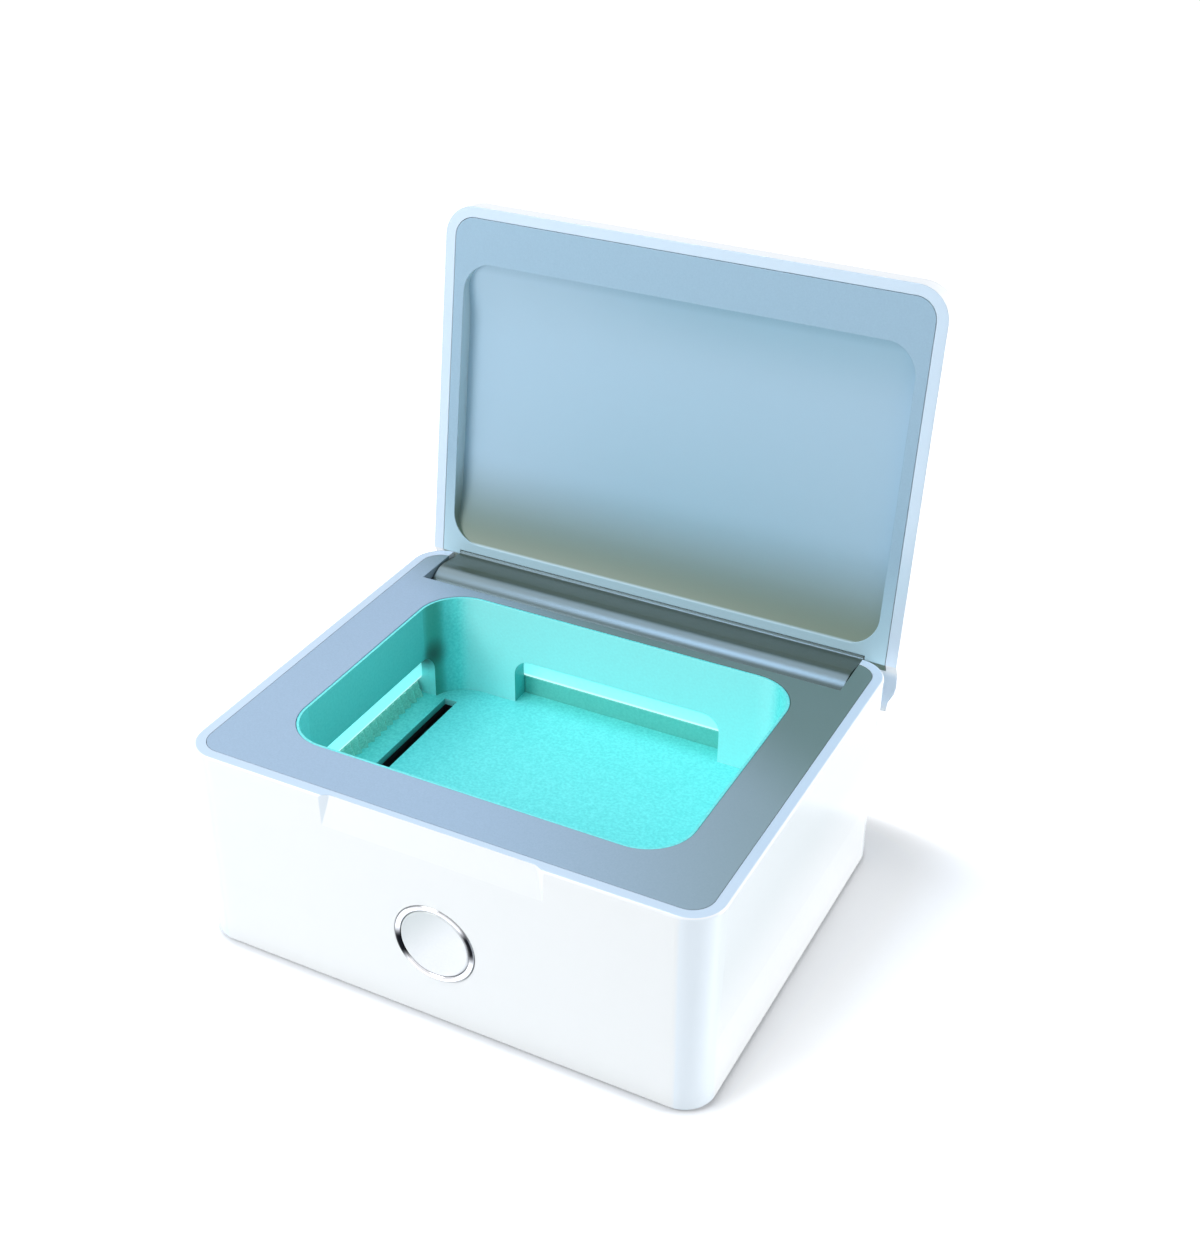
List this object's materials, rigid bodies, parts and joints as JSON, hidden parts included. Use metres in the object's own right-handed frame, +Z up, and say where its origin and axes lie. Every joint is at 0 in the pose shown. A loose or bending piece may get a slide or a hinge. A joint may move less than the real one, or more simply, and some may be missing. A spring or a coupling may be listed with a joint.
{
  "type": "hearing aid dryer",
  "caption": "Desktop hearing aid drying box with a lit chamber, warm air blower, front push button and hinged lid, shown open.",
  "frame": {"origin": "middle of the base's footprint, on the surface that its feet stand on", "axes": "+X to the right seen from the button side, +Y to the hinge side, +Z up"},
  "size_m": [0.1, 0.0993, 0.1104],
  "materials": {
    "white_gloss": "high gloss injection moulded",
    "deck_grey": "fine satin grain",
    "chamber_cyan": "satin, lit cyan by the lights",
    "light_cover": "translucent, lit from behind",
    "carrier_green": "satin",
    "board_green": "solder mask",
    "filter_paper": "pleated paper",
    "duct_black": "matt black moulded",
    "heater_metal": "thin fins",
    "screw_steel": "zinc plated",
    "ring_chrome": "polished chrome",
    "cap_pearl": "pearl gloss, slightly dished",
    "foot_rubber": "matt",
    "lid_panel_blue": "semi gloss",
    "magnet_nickel": "nickel plated",
    "barrel_grey": "semi gloss",
    "pin_steel": "ground",
    "bush_brass": "turned"
  },
  "bodies": {
    "base": {"base_shell": "white_gloss", "deck_plate": "deck_grey", "chamber_tub": "chamber_cyan", "rear_light_cover": "light_cover", "rear_light_carrier": "carrier_green", "rear_light_strip": "board_green", "left_light_cover": "light_cover", "left_light_strip": "board_green", "pleated_filter": "filter_paper", "air_duct": "duct_black", "heater": "heater_metal", "fan_housing": "duct_black", "fan_cover": "duct_black", "fan_screws": "screw_steel", "control_board": "board_green", "board_screws": "screw_steel", "power_inlet": "duct_black", "button_ring": "ring_chrome", "tact_switch": "duct_black", "button_board": "board_green", "lid_sensor": "duct_black", "bottom_cover": "white_gloss", "rubber_feet": "foot_rubber", "cover_screws": "screw_steel", "tub_screws": "screw_steel", "hinge_pins": "pin_steel"},
    "lid": {"lid_shell": "white_gloss", "lid_inner_panel": "lid_panel_blue", "lid_magnet": "magnet_nickel", "hinge_barrel": "barrel_grey", "barrel_screws": "screw_steel", "hinge_bushes": "bush_brass"},
    "button": {"button_cap": "cap_pearl", "switch_plunger": "duct_black"},
    "rotor": {"fan_rotor": "duct_black"}
  },
  "joints": [
    {"name": "lid_hinge", "type": "hinge", "parent": "base", "child": "lid", "pos_m": [0, 0.03575, 0.0353], "axis": [1, 0, 0], "range_deg": [0, 98]},
    {"name": "button_press", "type": "slide", "parent": "base", "child": "button", "axis": [0, 1, 0], "range_m": [0, 0.0008], "stiffness_N_per_m": 800, "springref_m": -0.001},
    {"name": "rotor_spin", "type": "hinge", "parent": "base", "child": "rotor", "pos_m": [0, 0, 0.008], "axis": [0, 0, 1], "continuous": true}
  ]
}
